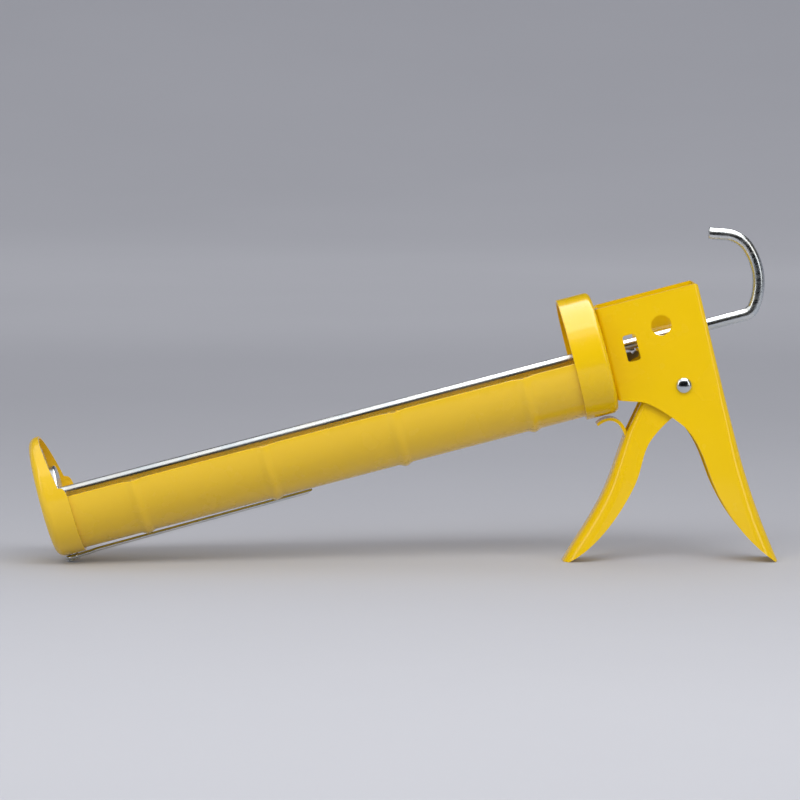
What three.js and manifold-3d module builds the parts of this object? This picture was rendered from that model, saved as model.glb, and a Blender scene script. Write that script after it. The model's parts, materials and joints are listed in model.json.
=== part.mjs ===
// Ratchet-rod caulking gun for quart-size cartridges, with a half-round cradle.
//
// The gun is drawn in its own frame: the rod's axis is X, with X = 0 at the back face of the
// rear collar, X growing towards the handle, Z up and Y across. The whole gun is then pitched
// nose-down, the way it stands on its nose rivet, its trigger tip and its handle tip.
// All sizes are in millimetres.

import * as THREE from 'three';
import * as BufferGeometryUtils from 'three/addons/utils/BufferGeometryUtils.js';
import Module from 'manifold-3d';

const wasm = await Module();
wasm.setup();

// ---- driving dimensions ----------------------------------------------------------------

const REST_PITCH = 14.6; // degrees, nose down, when the gun stands on a table
const GAP = 0.3; // clearance left between pieces that touch

// push rod and its hook
const ROD_R = 3.5;
const ROD_FRONT = -321.3; // shoulder that the piston is clamped against
const HOOK_START = 82.6; // where the straight rod ends
const TOOTH_PITCH = 5;
const TOOTH_DEPTH = 1.5;
const TEETH_FROM = -288;
const TEETH_TO = 42;
const STUB_R = 2.4; // threaded end in front of the shoulder

// cradle
const CRADLE_R = 33.1;
const CRADLE_SHEET = 1.0;
const CRADLE_FRONT = -324.8;
const CRADLE_BACK = -2.6;
const CRADLE_EDGE_Z = 0.5; // height of the trough's two long edges
const BEAD_X = [-275.8, -200.3, -124.8, -49.3];
const BEAD_HALF_WIDTH = 4.2;
const BEAD_HEIGHT = 1.4;

// front cap
const CAP_R = 34.8;
const CAP_SHEET = 1.4;
const CAP_FACE_X = -329.5;
const CAP_EDGE_R = 5; // round between face and rim
const CAP_RIM_BACK = -313; // full-depth lower rim
const CAP_CORNER_Z = -1.8; // where the lower rim's round upper corner begins
const CAP_STEP = { x: -317.5, z: 6.3 }; // where the cut-back upper rim meets the lower one
const CAP_HOOD_TOP = { x: -323.6, z: 37 }; // where the slanting upper rim would end
const SLOT_HALF = 10.5; // nozzle slot
const SLOT_TOP_Z = 13; // centre of its round upper end
const DRAWN_HOLE_R = 4; // the drawn cup's own centre, lost in the slot

// rear collar
const COLLAR_R = 35.1;
const COLLAR_SHEET = 1.7;
const COLLAR_DEPTH = 19.3;
const COLLAR_EDGE_R = 3.2;
const ROD_HOLE_R = 4.3; // in the collar and in the frame's web

// handle frame
const FRAME_HALF = 16; // half the outside width
const FRAME_SHEET = 1.8;
const FRAME_TOP = 25.7;
const FRAME_REAR = 60.2;
const FLANGE_GAP_HALF = 6; // half the gap between the two front flanges
const WINDOW = { x0: 11.2, x1: 18.6, z0: -8.1, z1: 7.1, r: 1.6 };
const ACCESS_HOLE = { x: 34.3, z: 7.7, r: 5.8 };

// trigger and mechanism
const PIVOT = { x: 38.2, z: -28.6 };
const PIVOT_R = 2.5;
const TRIGGER_HALF = 12.6;
const TRIGGER_SHEET = 1.5;
const PAWL_PIN = { x: 43.2, z: -12.7 };
const PAWL_PIN_R = 2;
const CATCH_PIN = { x: 8.2, z: -9.8 };
const CATCH_PIN_R = 1.6;
const BRACKET_EAR = 5.6; // inside half-width between the catch bracket's ears
const RIVET_Y = 10.6;
const RIVET_Z = 17;
const RIVET_R = 1.8;
const RIVET_HOLE_R = 2.1;
const BRACKET_SHEET = 1.2;
const LEVER_HALF = 3; // half the thickness of the pawl and the catch

// piston
const PLATE_R = 29.3;
const CUP_R = 16.5;
const CUP_BACK = -318.1;
const PLATE_FRONT = -324.9;
const PLATE_SHEET = 1.5;
const PLATE_RIM_FRONT = -327.6; // its edge is turned forward
const CUP_SHEET = 1.4;
const NUT_FRONT = -327.7;
const STUB_FRONT = -327.9;

// seal punch
const PUNCH_X = -321.6;
const PUNCH_WIRE_R = 1.2;
const PUNCH_RIVET_R = 1.8;
const PUNCH_DROP = 0.4; // gap between the cap and the wire's eye
const PUNCH_LENGTH = 141.6; // from the rivet to the point
const PUNCH_SWING = 5.5; // degrees it hangs towards the far side
const PUNCH_LIFT = 0.4; // the shaft runs this much closer to the cradle than the eye
const PUNCH_HEAD_Z = -38.9;

// ---- materials -------------------------------------------------------------------------

const yellowPaint = { color: 0xf2c200, roughness: 0.35, metalness: 0.0 };
const zincSteel = { color: 0xc9cdd0, roughness: 0.25, metalness: 0.9 };
const darkSteel = { color: 0x6d7074, roughness: 0.45, metalness: 0.8 };
const springSteel = { color: 0x9a9da0, roughness: 0.35, metalness: 0.85 };

const BEYOND = 50; // how far a cutting tool runs past the part

// ---- solids ----------------------------------------------------------------------------

// Merges a geometry's shared corners, drops zero-area faces and makes a Manifold of it,
// turned the right way out.
function solid(geometry) {
  const bare = geometry.clone();
  for (const name of Object.keys(bare.attributes)) {
    if (name !== 'position') bare.deleteAttribute(name);
  }
  const merged = BufferGeometryUtils.mergeVertices(bare, 1e-4);
  const points = merged.attributes.position.array;
  const kept = [];
  const index = merged.index.array;
  let volume = 0;
  for (let i = 0; i < index.length; i += 3) {
    const [a, b, c] = [index[i], index[i + 1], index[i + 2]];
    if (a === b || b === c || c === a) continue;
    kept.push(a, b, c);
    const p = new THREE.Vector3().fromArray(points, 3 * a);
    const q = new THREE.Vector3().fromArray(points, 3 * b);
    const r = new THREE.Vector3().fromArray(points, 3 * c);
    volume += p.dot(q.cross(r));
  }
  if (volume < 0) kept.reverse();
  return new wasm.Manifold(new wasm.Mesh({
    numProp: 3,
    vertProperties: Float32Array.from(points),
    triVerts: Uint32Array.from(kept),
  }));
}

function joined(first, ...others) {
  return others.reduce((whole, piece) => whole.add(piece), first);
}

function cut(first, ...others) {
  return others.reduce((whole, piece) => whole.subtract(piece), first);
}

function geometryOf(manifold) {
  const mesh = manifold.getMesh();
  const geometry = new THREE.BufferGeometry();
  const points = new Float32Array(mesh.numVert * 3);
  for (let i = 0; i < mesh.numVert; i += 1) {
    for (let k = 0; k < 3; k += 1) points[3 * i + k] = mesh.vertProperties[mesh.numProp * i + k];
  }
  geometry.setAttribute('position', new THREE.BufferAttribute(points, 3));
  geometry.setIndex(new THREE.BufferAttribute(Uint32Array.from(mesh.triVerts), 1));
  geometry.computeVertexNormals();
  return geometry;
}

// A block between two corners.
function block([x0, y0, z0], [x1, y1, z1]) {
  const geometry = new THREE.BoxGeometry(x1 - x0, y1 - y0, z1 - z0);
  geometry.translate((x0 + x1) / 2, (y0 + y1) / 2, (z0 + z1) / 2);
  return solid(geometry);
}

// A round bar along X, Y or Z, between two places on that axis.
function bar(axis, radius, from, to, centre, segments = 24) {
  const geometry = new THREE.CylinderGeometry(radius, radius, to - from, segments);
  if (axis === 'x') geometry.rotateZ(-Math.PI / 2);
  if (axis === 'z') geometry.rotateX(Math.PI / 2);
  const middle = (from + to) / 2;
  if (axis === 'x') geometry.translate(middle, centre[0], centre[1]);
  if (axis === 'y') geometry.translate(centre[0], middle, centre[1]);
  if (axis === 'z') geometry.translate(centre[0], centre[1], middle);
  return solid(geometry);
}

// Turns a closed loop of [x, radius] points about the X axis.
function turned(loop, segments) {
  const points = loop.map(([x, r]) => new THREE.Vector2(r, x));
  points.push(points[0].clone());
  const geometry = new THREE.LatheGeometry(points, segments);
  geometry.rotateZ(-Math.PI / 2);
  return solid(geometry);
}

// Extrudes a side-view shape, drawn in X and Z, across from y0 to y1.
function across(shape, y0, y1, curveSegments = 8) {
  const options = { depth: y1 - y0, bevelEnabled: false, curveSegments };
  const geometry = new THREE.ExtrudeGeometry(shape, options);
  geometry.rotateX(Math.PI / 2);
  geometry.translate(0, y1, 0);
  return solid(geometry);
}

// A curve through listed points, swept corner to corner.
class Polyline extends THREE.Curve {
  constructor(points) {
    super();
    this.points = points;
  }

  getPoint(t, target = new THREE.Vector3()) {
    const place = t * (this.points.length - 1);
    const i = Math.min(Math.floor(place), this.points.length - 2);
    return target.lerpVectors(this.points[i], this.points[i + 1], place - i);
  }

  getPointAt(t, target) {
    return this.getPoint(t, target);
  }

  getTangentAt(t, target = new THREE.Vector3()) {
    const step = 0.5 / (this.points.length - 1);
    const before = this.getPoint(Math.max(0, t - step));
    const after = this.getPoint(Math.min(1, t + step));
    return target.subVectors(after, before).normalize();
  }
}

// Sweeps a round wire through listed points.
function wire(points, radius, sides = 8) {
  const section = new THREE.Shape();
  for (let i = 0; i < sides; i += 1) {
    const angle = (2 * Math.PI * i) / sides;
    const [x, y] = [radius * Math.cos(angle), radius * Math.sin(angle)];
    if (i === 0) section.moveTo(x, y);
    else section.lineTo(x, y);
  }
  section.closePath();
  const extrudePath = new Polyline(points);
  const options = { steps: points.length - 1, extrudePath, bevelEnabled: false };
  return solid(new THREE.ExtrudeGeometry(section, options));
}

// A rounded rectangle drawn in X and Z.
function roundedRectangle({ x0, x1, z0, z1, r }) {
  const shape = new THREE.Shape();
  shape.moveTo(x0 + r, z0);
  shape.lineTo(x1 - r, z0);
  shape.absarc(x1 - r, z0 + r, r, -Math.PI / 2, 0, false);
  shape.lineTo(x1, z1 - r);
  shape.absarc(x1 - r, z1 - r, r, 0, Math.PI / 2, false);
  shape.lineTo(x0 + r, z1);
  shape.absarc(x0 + r, z1 - r, r, Math.PI / 2, Math.PI, false);
  shape.lineTo(x0, z0 + r);
  shape.absarc(x0 + r, z0 + r, r, Math.PI, 1.5 * Math.PI, false);
  return shape;
}

// A rivet along an axis: a shank and two domed heads, turned from one outline.
function rivet(axis, centre, radius, headRadius, headHeight, from, to) {
  const loop = [
    [to + headHeight, 0], [to + headHeight * 0.8, headRadius * 0.6], [to, headRadius],
    [to, radius], [from, radius],
    [from, headRadius], [from - headHeight * 0.8, headRadius * 0.6], [from - headHeight, 0],
  ];
  const points = loop.map(([x, r]) => new THREE.Vector2(r, x));
  const geometry = new THREE.LatheGeometry(points, 14);
  if (axis === 'x') geometry.rotateZ(-Math.PI / 2);
  if (axis === 'z') geometry.rotateX(Math.PI / 2);
  if (axis === 'x') geometry.translate(0, centre[0], centre[1]);
  if (axis === 'y') geometry.translate(centre[0], 0, centre[1]);
  if (axis === 'z') geometry.translate(centre[0], centre[1], 0);
  return solid(geometry);
}

// ---- the assembly ----------------------------------------------------------------------

const gun = new THREE.Group();
gun.rotation.y = -THREE.MathUtils.degToRad(REST_PITCH);

function place(name, manifold, look) {
  const material = new THREE.MeshStandardMaterial(look);
  const mesh = new THREE.Mesh(geometryOf(manifold), material);
  mesh.name = name;
  gun.add(mesh);
}

// ---- cradle, cap and collar ------------------------------------------------------------

// The half-round trough: rolled sheet with four beads pressed outwards.
function cradleTrough() {
  const outer = [[CRADLE_FRONT, CRADLE_R]];
  for (const x of BEAD_X) {
    for (const t of [-1, -0.5, 0, 0.5, 1]) {
      const swell = BEAD_HEIGHT * Math.cos((Math.PI / 2) * t) ** 2;
      outer.push([x + t * BEAD_HALF_WIDTH, CRADLE_R + swell]);
    }
  }
  outer.push([CRADLE_BACK, CRADLE_R]);
  const inner = outer.map(([x, r]) => [x, r - CRADLE_SHEET]).reverse();
  const tube = turned([...outer, ...inner], 40);
  const lid = block([CRADLE_FRONT - 1, -BEYOND, CRADLE_EDGE_Z], [0, BEYOND, BEYOND]);
  return cut(tube, lid, punchRivetHole());
}

function punchRivetHole() {
  return bar('z', PUNCH_RIVET_R + GAP, -BEYOND, 0, [PUNCH_X, 0], 16);
}

// The cup at the nose: a flat face with a long slot for the nozzle and a rim that is deep
// under the cradle and slants back over the top.
function frontCap() {
  const faceR = CAP_R - CAP_EDGE_R;
  const loop = [[CAP_FACE_X, DRAWN_HOLE_R], [CAP_FACE_X, faceR]];
  for (const degrees of [22.5, 45, 67.5, 90]) {
    const angle = THREE.MathUtils.degToRad(degrees);
    const x = CAP_FACE_X + CAP_EDGE_R * (1 - Math.cos(angle));
    loop.push([x, faceR + CAP_EDGE_R * Math.sin(angle)]);
  }
  loop.push([CAP_RIM_BACK, CAP_R], [CAP_RIM_BACK, CAP_R - CAP_SHEET]);
  const innerR = CAP_EDGE_R - CAP_SHEET;
  for (const degrees of [90, 60, 30, 0]) {
    const angle = THREE.MathUtils.degToRad(degrees);
    const x = CAP_FACE_X + CAP_EDGE_R - innerR * Math.cos(angle);
    loop.push([x, faceR + innerR * Math.sin(angle)]);
  }
  loop.push([CAP_FACE_X + CAP_SHEET, DRAWN_HOLE_R]);
  const cup = turned(loop, 40);
  const hood = new THREE.Shape();
  hood.moveTo(CAP_RIM_BACK, CAP_CORNER_Z);
  hood.quadraticCurveTo(CAP_RIM_BACK - 0.4, CAP_STEP.z - 0.7, CAP_RIM_BACK - 3, CAP_STEP.z - 0.3);
  hood.lineTo(CAP_STEP.x, CAP_STEP.z);
  hood.quadraticCurveTo(-320, 20, CAP_HOOD_TOP.x, CAP_HOOD_TOP.z);
  hood.lineTo(CAP_RIM_BACK + BEYOND, CAP_HOOD_TOP.z);
  hood.lineTo(CAP_RIM_BACK + BEYOND, CAP_CORNER_Z);
  const slotFront = CAP_FACE_X - CAP_SHEET;
  const slotBack = CAP_FACE_X + 2 * CAP_SHEET;
  const ends = [0, SLOT_TOP_Z].map((z) => bar('x', SLOT_HALF, slotFront, slotBack, [0, z], 28));
  const slot = block([slotFront, -SLOT_HALF, 0], [slotBack, SLOT_HALF, SLOT_TOP_Z]);
  return cut(cup, across(hood, -BEYOND, BEYOND), slot, ...ends, punchRivetHole());
}

// The cup at the back of the cradle, with a hole for the rod and four rivet holes.
function rearCollar() {
  const flat = COLLAR_R - COLLAR_EDGE_R;
  const loop = [[0, ROD_HOLE_R], [0, flat]];
  for (const degrees of [30, 60, 90]) {
    const angle = THREE.MathUtils.degToRad(degrees);
    const x = -COLLAR_EDGE_R * (1 - Math.cos(angle));
    loop.push([x, flat + COLLAR_EDGE_R * Math.sin(angle)]);
  }
  const innerR = COLLAR_EDGE_R - COLLAR_SHEET;
  loop.push([-COLLAR_DEPTH, COLLAR_R], [-COLLAR_DEPTH, COLLAR_R - COLLAR_SHEET]);
  for (const degrees of [90, 45, 0]) {
    const angle = THREE.MathUtils.degToRad(degrees);
    const x = -COLLAR_EDGE_R + innerR * Math.cos(angle);
    loop.push([x, flat + innerR * Math.sin(angle)]);
  }
  loop.push([-COLLAR_SHEET, ROD_HOLE_R]);
  return cut(turned(loop, 40), ...flangeRivetHoles());
}

function rivetPlaces() {
  return [[-RIVET_Y, RIVET_Z], [RIVET_Y, RIVET_Z], [-RIVET_Y, -RIVET_Z], [RIVET_Y, -RIVET_Z]];
}

function flangeRivetHoles() {
  return rivetPlaces().map(([y, z]) => bar('x', RIVET_HOLE_R, -6, 6, [y, z], 12));
}

// ---- handle frame ----------------------------------------------------------------------

// The frame's outline from the side.
function frameOutline() {
  const rear = FRAME_REAR;
  const shape = new THREE.Shape();
  shape.moveTo(GAP, FRAME_TOP);
  shape.lineTo(rear - 1.5, FRAME_TOP);
  shape.quadraticCurveTo(rear, FRAME_TOP, rear, FRAME_TOP - 2);
  shape.lineTo(rear - 0.8, -52);
  shape.bezierCurveTo(rear - 1.2, -86, rear - 0.2, -106, 65.6, -137);
  shape.quadraticCurveTo(66.2, -139.7, 64.2, -140);
  shape.bezierCurveTo(54, -127.5, 44.5, -112, 40.6, -87);
  shape.bezierCurveTo(39, -76, 39.4, -62, 32.4, -51);
  shape.bezierCurveTo(26, -42.6, 17.5, -33, 11.7, -31.4);
  shape.lineTo(GAP, -27.6);
  return shape;
}

// The space inside the folded sheet, open at the top and along the lower front.
function frameHollow() {
  const front = GAP + FRAME_SHEET;
  const rear = FRAME_REAR - FRAME_SHEET;
  const shape = new THREE.Shape();
  shape.moveTo(front, FRAME_TOP + BEYOND);
  shape.lineTo(rear, FRAME_TOP + BEYOND);
  shape.lineTo(rear - 0.8, -52);
  shape.bezierCurveTo(rear - 1.2, -86, rear - 0.2, -106, 63.4, -136.6);
  shape.lineTo(64, -150);
  shape.lineTo(front, -60);
  return shape;
}

// One folded sheet: two side plates joined by the web down the back of the handle, with a
// flange turned in from each plate against the collar. The top and the lower front are open.
function handleFrame() {
  const outside = across(frameOutline(), -FRAME_HALF, FRAME_HALF, 10);
  const half = FRAME_HALF - FRAME_SHEET;
  const hollow = across(frameHollow(), -half, half, 10);
  const gapBack = GAP + 2 * FRAME_SHEET;
  const flangeGap = block([-1, -FLANGE_GAP_HALF, -BEYOND], [gapBack, FLANGE_GAP_HALF, BEYOND]);
  const window = across(roundedRectangle(WINDOW), -BEYOND, BEYOND, 4);
  const access = bar('y', ACCESS_HOLE.r, -BEYOND, 0, [ACCESS_HOLE.x, ACCESS_HOLE.z], 32);
  const rodHole = bar('x', ROD_HOLE_R, FRAME_REAR - 10, FRAME_REAR + 10, [0, 0]);
  const pivotHole = bar('y', PIVOT_R + GAP, -BEYOND, BEYOND, [PIVOT.x, PIVOT.z], 20);
  return cut(
    outside, hollow, flangeGap, window, access, rodHole, pivotHole, ...flangeRivetHoles(),
  );
}

// ---- piston and rod --------------------------------------------------------------------

// The hook's centre line: round bends that follow one another, then a straight tail.
const HOOK_BENDS = [
  { radius: 7.6, degrees: 53 },
  { radius: 36, degrees: 56 },
  { radius: 17, degrees: 52 },
];
const HOOK_TAIL = 9.8;

function hookPoints() {
  const points = [new THREE.Vector3(HOOK_START - 8, 0, 0), new THREE.Vector3(HOOK_START, 0, 0)];
  let heading = 0;
  let [x, z] = [HOOK_START, 0];
  for (const { radius, degrees } of HOOK_BENDS) {
    const count = Math.round(degrees / 11);
    const turn = THREE.MathUtils.degToRad(degrees) / count;
    for (let i = 0; i < count; i += 1) {
      const chord = 2 * radius * Math.sin(turn / 2);
      heading += turn / 2;
      x += chord * Math.cos(heading);
      z += chord * Math.sin(heading);
      heading += turn / 2;
      points.push(new THREE.Vector3(x, 0, z));
    }
  }
  x += HOOK_TAIL * Math.cos(heading);
  z += HOOK_TAIL * Math.sin(heading);
  points.push(new THREE.Vector3(x, 0, z));
  return points;
}

// The round rod with a threaded stub, saw teeth along its underside and the hook.
function pushRod() {
  const straight = bar('x', ROD_R, ROD_FRONT, HOOK_START - 4, [0, 0], 16);
  const stub = bar('x', STUB_R, STUB_FRONT, ROD_FRONT + 2, [0, 0], 14);
  const hook = wire(hookPoints(), ROD_R, 16);
  const saw = new THREE.Shape();
  saw.moveTo(TEETH_FROM, -6);
  for (let x = TEETH_FROM; x < TEETH_TO; x += TOOTH_PITCH) {
    saw.lineTo(x, -ROD_R + TOOTH_DEPTH);
    saw.lineTo(x + 0.8 * TOOTH_PITCH, -ROD_R - 0.15);
    saw.lineTo(x + TOOTH_PITCH, -ROD_R - 0.15);
  }
  saw.lineTo(TEETH_TO + TOOTH_PITCH, -6);
  return cut(joined(straight, stub, hook), across(saw, -5, 5));
}

// The disc that pushes the cartridge's plunger, with its edge turned forward.
function pistonPlate() {
  const back = PLATE_FRONT + PLATE_SHEET;
  const loop = [
    [back, STUB_R + GAP], [back, PLATE_R - 1.6], [back - 0.5, PLATE_R - 0.5],
    [back - 1.6, PLATE_R], [PLATE_RIM_FRONT, PLATE_R],
    [PLATE_RIM_FRONT, PLATE_R - PLATE_SHEET], [PLATE_FRONT, PLATE_R - PLATE_SHEET],
    [PLATE_FRONT, STUB_R + GAP],
  ];
  return turned(loop, 36);
}

// The smaller cup welded behind the plate, with a hole for the rod.
function pistonCup() {
  const front = PLATE_FRONT + PLATE_SHEET + GAP;
  const loop = [
    [CUP_BACK, ROD_R + GAP], [CUP_BACK, CUP_R - 1.2], [CUP_BACK - 1.2, CUP_R], [front, CUP_R],
    [front, CUP_R - CUP_SHEET], [CUP_BACK - CUP_SHEET, CUP_R - CUP_SHEET],
    [CUP_BACK - CUP_SHEET, ROD_R + GAP],
  ];
  return turned(loop, 28);
}

// The washer inside the cup, between the rod's shoulder and the plate.
function rodWasher() {
  const front = PLATE_FRONT + PLATE_SHEET + GAP;
  const back = ROD_FRONT - GAP;
  const loop = [[front, STUB_R + 0.2], [front, 7], [back, 7], [back, STUB_R + 0.2]];
  return turned(loop, 18);
}

// The thin hexagon nut on the rod's threaded end.
function pistonNut() {
  const nut = bar('x', 4.9, NUT_FRONT, PLATE_FRONT - GAP, [0, 0], 6);
  return cut(nut, bar('x', STUB_R + 0.15, NUT_FRONT - 1, PLATE_FRONT, [0, 0], 14));
}

// ---- trigger and ratchet ---------------------------------------------------------------

function triggerOutline() {
  const shape = new THREE.Shape();
  shape.moveTo(12, -33.5);
  shape.lineTo(-0.6, -48.6);
  shape.bezierCurveTo(-7.5, -58, -15, -72, -27.6, -85);
  shape.bezierCurveTo(-37, -95, -46, -102, -51.4, -107.9);
  shape.quadraticCurveTo(-52.2, -109.9, -49.6, -110.2);
  shape.bezierCurveTo(-34, -106.6, -18, -94.5, -5.3, -80.3);
  shape.bezierCurveTo(5.5, -68.5, 5, -60, 15.1, -52.6);
  shape.bezierCurveTo(22, -47.4, 28, -44.4, 35, -42.6);
  shape.bezierCurveTo(43, -40.4, 47.4, -35, 47.6, -28.6);
  shape.lineTo(PAWL_PIN.x + 4.7, PAWL_PIN.z);
  shape.absarc(PAWL_PIN.x, PAWL_PIN.z, 4.7, 0, Math.PI, false);
  shape.bezierCurveTo(36.5, -20, 24, -21, 12, -33.5);
  return shape;
}

// One folded sheet: a curved channel with its web at the front. Above the grip the web is
// cut free and curled forward as a stop, and the two sides run on as ears to the pivot and
// the pawl pin.
function triggerChannel() {
  const outside = across(triggerOutline(), -TRIGGER_HALF, TRIGGER_HALF, 8);
  const half = TRIGGER_HALF - TRIGGER_SHEET;
  const hollow = new THREE.Shape();
  hollow.moveTo(1.2, -48.2);
  hollow.bezierCurveTo(-5.6, -57.4, -13.2, -71.4, -25.9, -84.4);
  hollow.bezierCurveTo(-35.4, -94.2, -41, -99, -47.2, -105.2);
  hollow.lineTo(-40, -120);
  hollow.lineTo(60, -90);
  hollow.lineTo(60, 0);
  hollow.lineTo(0, 0);
  hollow.lineTo(-9, -40);
  hollow.lineTo(-2.3, -46.6);
  const channel = cut(outside, across(hollow, -half, half, 8));
  const tab = across(stopTab(), -7, 7, 6);
  const pivotHole = bar('y', PIVOT_R + GAP, -BEYOND, BEYOND, [PIVOT.x, PIVOT.z], 20);
  const pinHole = bar('y', PAWL_PIN_R + GAP, -BEYOND, BEYOND, [PAWL_PIN.x, PAWL_PIN.z], 16);
  return cut(joined(channel, tab), pivotHole, pinHole);
}

// The curled stop tab, from its root in the web to its rounded tip under the collar.
function stopTab() {
  const shape = new THREE.Shape();
  shape.moveTo(0.6, -49.4);
  shape.bezierCurveTo(1.6, -43, -1.5, -36.9, -8, -36.6);
  shape.quadraticCurveTo(-11.8, -36.5, -14.4, -38.3);
  shape.lineTo(-13.6, -39.8);
  shape.quadraticCurveTo(-11.2, -38.2, -8, -38.3);
  shape.bezierCurveTo(-3.4, -38.6, -0.9, -43, -1.4, -49.6);
  return shape;
}

// A rocking lever drawn from the side: a round boss on its pin and an arm to its nose.
function leverOn(pin, pinRadius, shape) {
  const lever = across(shape, -LEVER_HALF, LEVER_HALF, 6);
  return cut(lever, bar('y', pinRadius + GAP, -BEYOND, BEYOND, [pin.x, pin.z], 16));
}

// The drive pawl on the trigger's upper pin. Its nose points forward under the teeth.
function drivePawl() {
  const shape = new THREE.Shape();
  shape.moveTo(PAWL_PIN.x, PAWL_PIN.z - 3.6);
  shape.absarc(PAWL_PIN.x, PAWL_PIN.z, 3.6, -Math.PI / 2, Math.PI / 2, false);
  shape.lineTo(38, -8.2);
  shape.lineTo(33.2, -4.8);
  shape.lineTo(31.4, -4.8);
  shape.lineTo(31.2, -8.6);
  shape.quadraticCurveTo(35, -13.5, PAWL_PIN.x, PAWL_PIN.z - 3.6);
  return leverOn(PAWL_PIN, PAWL_PIN_R, shape);
}

// The holding catch on its own pin. Its two teeth point up and stop the rod creeping back.
function backCatch() {
  const shape = new THREE.Shape();
  shape.moveTo(CATCH_PIN.x, CATCH_PIN.z - 2.8);
  shape.absarc(CATCH_PIN.x, CATCH_PIN.z, 2.8, 1.5 * Math.PI, 0.6 * Math.PI, true);
  shape.lineTo(12, -3.95);
  shape.lineTo(14.6, -3.95);
  shape.lineTo(15.2, -5.4);
  shape.lineTo(17.4, -3.95);
  shape.quadraticCurveTo(19.2, -4.2, 18.7, -6);
  shape.quadraticCurveTo(18.4, -7.5, 16.6, -7.6);
  shape.quadraticCurveTo(11.5, -8.4, CATCH_PIN.x, CATCH_PIN.z - 2.8);
  return leverOn(CATCH_PIN, CATCH_PIN_R, shape);
}

// The folded bracket behind the front flanges whose two ears carry the catch pin.
function catchBracket() {
  const x0 = GAP + FRAME_SHEET + GAP;
  const plate = block([x0, -13.6, -22.4], [x0 + BRACKET_SHEET, 13.6, -7.2]);
  const ear = new THREE.Shape();
  ear.moveTo(x0 + 0.2, -7.4);
  ear.lineTo(CATCH_PIN.x, CATCH_PIN.z + 3);
  ear.absarc(CATCH_PIN.x, CATCH_PIN.z, 3, Math.PI / 2, -Math.PI / 2, true);
  ear.lineTo(x0 + 0.2, -21.5);
  const ears = [-1, 1].map((side) => {
    const near = side * BRACKET_EAR;
    const far = side * (BRACKET_EAR + BRACKET_SHEET);
    return across(ear, Math.min(near, far), Math.max(near, far));
  });
  const pinHole = bar('y', CATCH_PIN_R + 0.15, -BEYOND, BEYOND, [CATCH_PIN.x, CATCH_PIN.z], 16);
  return cut(joined(plate, ...ears), pinHole, ...flangeRivetHoles());
}

function headedPin(pin, radius, half, headRadius) {
  const shank = bar('y', radius, -half, half, [pin.x, pin.z], 16);
  const heads = [-1, 1].map((side) => {
    const near = side * half;
    const far = side * (half + 0.9);
    return bar('y', headRadius, Math.min(near, far), Math.max(near, far), [pin.x, pin.z], 16);
  });
  return joined(shank, ...heads);
}

// ---- springs and seal punch ------------------------------------------------------------

// A torsion spring: a coil about a pin along Y, with a straight leg from each end.
function torsionSpring(pin, wireR, coilR, y0, y1, turns, startDegrees, legA, legB) {
  const start = THREE.MathUtils.degToRad(startDegrees);
  const count = Math.round(turns * 12);
  const points = [new THREE.Vector3(...legA)];
  for (let i = 0; i <= count; i += 1) {
    const angle = start + (2 * Math.PI * turns * i) / count;
    const y = y0 + ((y1 - y0) * i) / count;
    const x = pin.x + coilR * Math.cos(angle);
    points.push(new THREE.Vector3(x, y, pin.z + coilR * Math.sin(angle)));
  }
  points.push(new THREE.Vector3(...legB));
  return wire(points, wireR, 6);
}

// The wire that pierces a cartridge's seal: an eye on the nose rivet and a straight shaft
// that folds back under the cradle and hangs a little to one side.
function sealPunch() {
  const z = -CAP_R - PUNCH_DROP - PUNCH_WIRE_R;
  const eyeR = PUNCH_RIVET_R + GAP + PUNCH_WIRE_R;
  const points = [];
  for (let degrees = 40; degrees <= 320; degrees += 20) {
    const angle = THREE.MathUtils.degToRad(degrees);
    points.push(new THREE.Vector3(eyeR * Math.cos(angle), eyeR * Math.sin(angle), z));
  }
  points.push(new THREE.Vector3(7, -0.5, z));
  points.push(new THREE.Vector3(10, 0, z));
  points.push(new THREE.Vector3(15, 0, z + PUNCH_LIFT));
  points.push(new THREE.Vector3(PUNCH_LENGTH, 0, z + PUNCH_LIFT));
  const up = new THREE.Vector3(0, 0, 1);
  const swing = THREE.MathUtils.degToRad(PUNCH_SWING);
  for (const point of points) {
    point.applyAxisAngle(up, swing);
    point.x += PUNCH_X;
  }
  return wire(points, PUNCH_WIRE_R, 8);
}

// The rivet under the nose: a flat head inside the cradle and a domed foot outside.
function punchRivet() {
  const inside = -CRADLE_R + CRADLE_SHEET + GAP;
  const under = -CAP_R - PUNCH_DROP - 2 * PUNCH_WIRE_R - GAP;
  const outline = [
    [0, inside + 0.9], [3.4, inside + 0.9], [3.4, inside],
    [PUNCH_RIVET_R, inside], [PUNCH_RIVET_R, under],
    [4, under], [3.7, under - 0.6], [2.4, PUNCH_HEAD_Z + 0.1], [0, PUNCH_HEAD_Z],
  ];
  const points = outline.map(([r, z]) => new THREE.Vector2(r, z)).reverse();
  const geometry = new THREE.LatheGeometry(points, 16);
  geometry.rotateX(Math.PI / 2);
  geometry.translate(PUNCH_X, 0, 0);
  return solid(geometry);
}

// ---- build -----------------------------------------------------------------------------

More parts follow.
